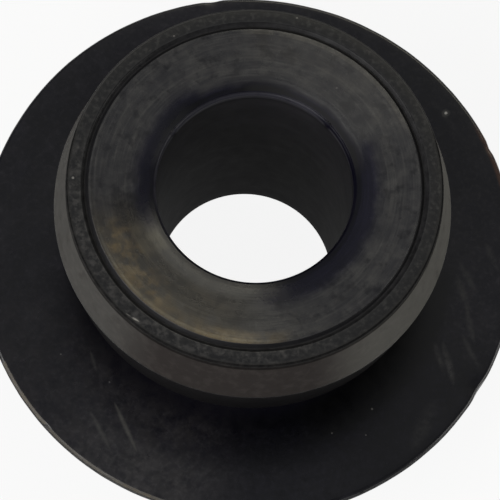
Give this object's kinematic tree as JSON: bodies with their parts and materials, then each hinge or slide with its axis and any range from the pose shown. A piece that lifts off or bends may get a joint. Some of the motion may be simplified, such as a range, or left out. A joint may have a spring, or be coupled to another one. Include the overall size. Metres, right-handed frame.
{
  "type": "sealing bushing",
  "caption": "Rubber bushing with a wide thin flange, a grooved neck that snaps into a panel hole, a barbed head and a through bore that seals on a tube.",
  "frame": {"origin": "on the bore's axis at the foot of the collar, which the part stands on", "axes": "+Z along the bore from the collar to the head; the part is turned about Z, so X and Y are free"},
  "size_m": [0.036, 0.036, 0.02],
  "materials": {
    "rubber": "black moulded rubber, satin and slightly worn"
  },
  "bodies": {
    "root": {"bushing": "rubber"}
  },
  "joints": []
}
